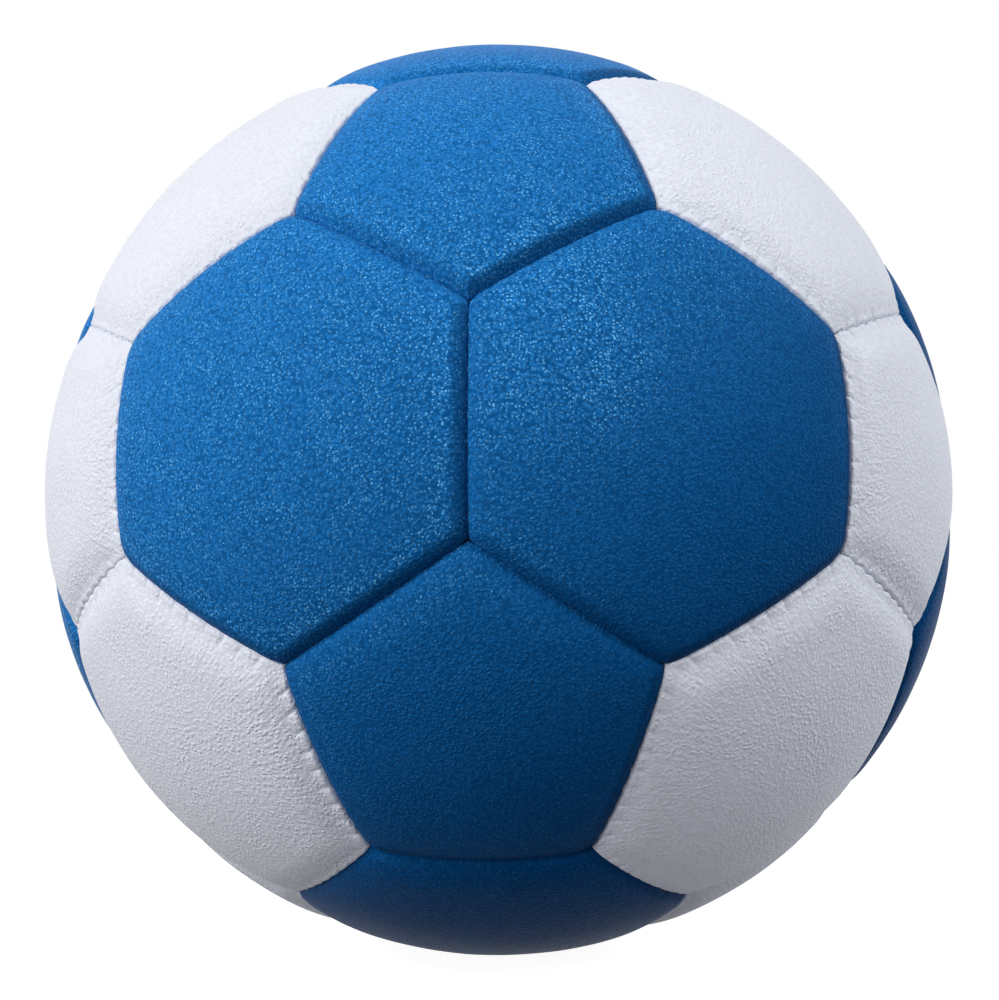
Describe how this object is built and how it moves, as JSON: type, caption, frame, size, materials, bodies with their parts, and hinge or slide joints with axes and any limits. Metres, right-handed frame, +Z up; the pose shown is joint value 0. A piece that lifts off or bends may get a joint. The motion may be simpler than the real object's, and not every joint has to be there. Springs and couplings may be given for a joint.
{
  "type": "handball",
  "caption": "Hand-stitched ball of hexagonal and pentagonal padded panels over an inflated bladder with a needle valve.",
  "frame": {"origin": "centre of the ball", "axes": "+Z up, -Y towards the front, where an upright seam between two blue hexagons meets the viewer, +X to the viewer's right; each axis runs through the middle of a seam between two hexagons"},
  "size_m": [0.1866, 0.1866, 0.1866],
  "materials": {
    "blue_cover": "satin",
    "white_cover": "satin",
    "foam": "matte",
    "lining": "matte",
    "thread": "matte",
    "bladder": "matte",
    "valve_rubber": "satin",
    "valve_plug": "satin",
    "patch": "matte"
  },
  "bodies": {
    "root": {"pentagon_front_bottom": "blue_cover", "hexagon_front_left": "blue_cover", "hexagon_bottom_front": "blue_cover", "hexagon_left_bottom": "blue_cover", "pentagon_front_top": "blue_cover", "hexagon_front_right": "blue_cover", "hexagon_bottom_back": "blue_cover", "hexagon_left_top": "blue_cover", "pentagon_back_bottom": "blue_cover", "hexagon_back_left": "blue_cover", "hexagon_top_front": "blue_cover", "hexagon_right_bottom": "blue_cover", "pentagon_back_top": "blue_cover", "hexagon_back_right": "blue_cover", "hexagon_top_back": "blue_cover", "hexagon_right_top": "blue_cover", "pentagon_left_front": "white_cover", "pentagon_bottom_left": "white_cover", "pentagon_left_back": "white_cover", "pentagon_bottom_right": "white_cover", "pentagon_right_front": "white_cover", "pentagon_top_left": "white_cover", "pentagon_right_back": "white_cover", "pentagon_top_right": "white_cover", "hexagon_front_left_bottom": "white_cover", "hexagon_front_left_top": "white_cover", "hexagon_back_left_bottom": "white_cover", "hexagon_back_left_top": "white_cover", "hexagon_front_right_bottom": "white_cover", "hexagon_front_right_top": "white_cover", "hexagon_back_right_bottom": "white_cover", "hexagon_back_right_top": "white_cover", "pentagon_foam_pads": "foam", "hexagon_foam_pads": "foam", "pentagon_linings": "lining", "hexagon_linings": "lining", "pentagon_seam_threads": "thread", "hexagon_seam_threads": "thread", "bladder": "bladder", "valve_housing": "valve_rubber", "valve_plug": "valve_plug", "valve_patch": "patch"}
  },
  "joints": []
}
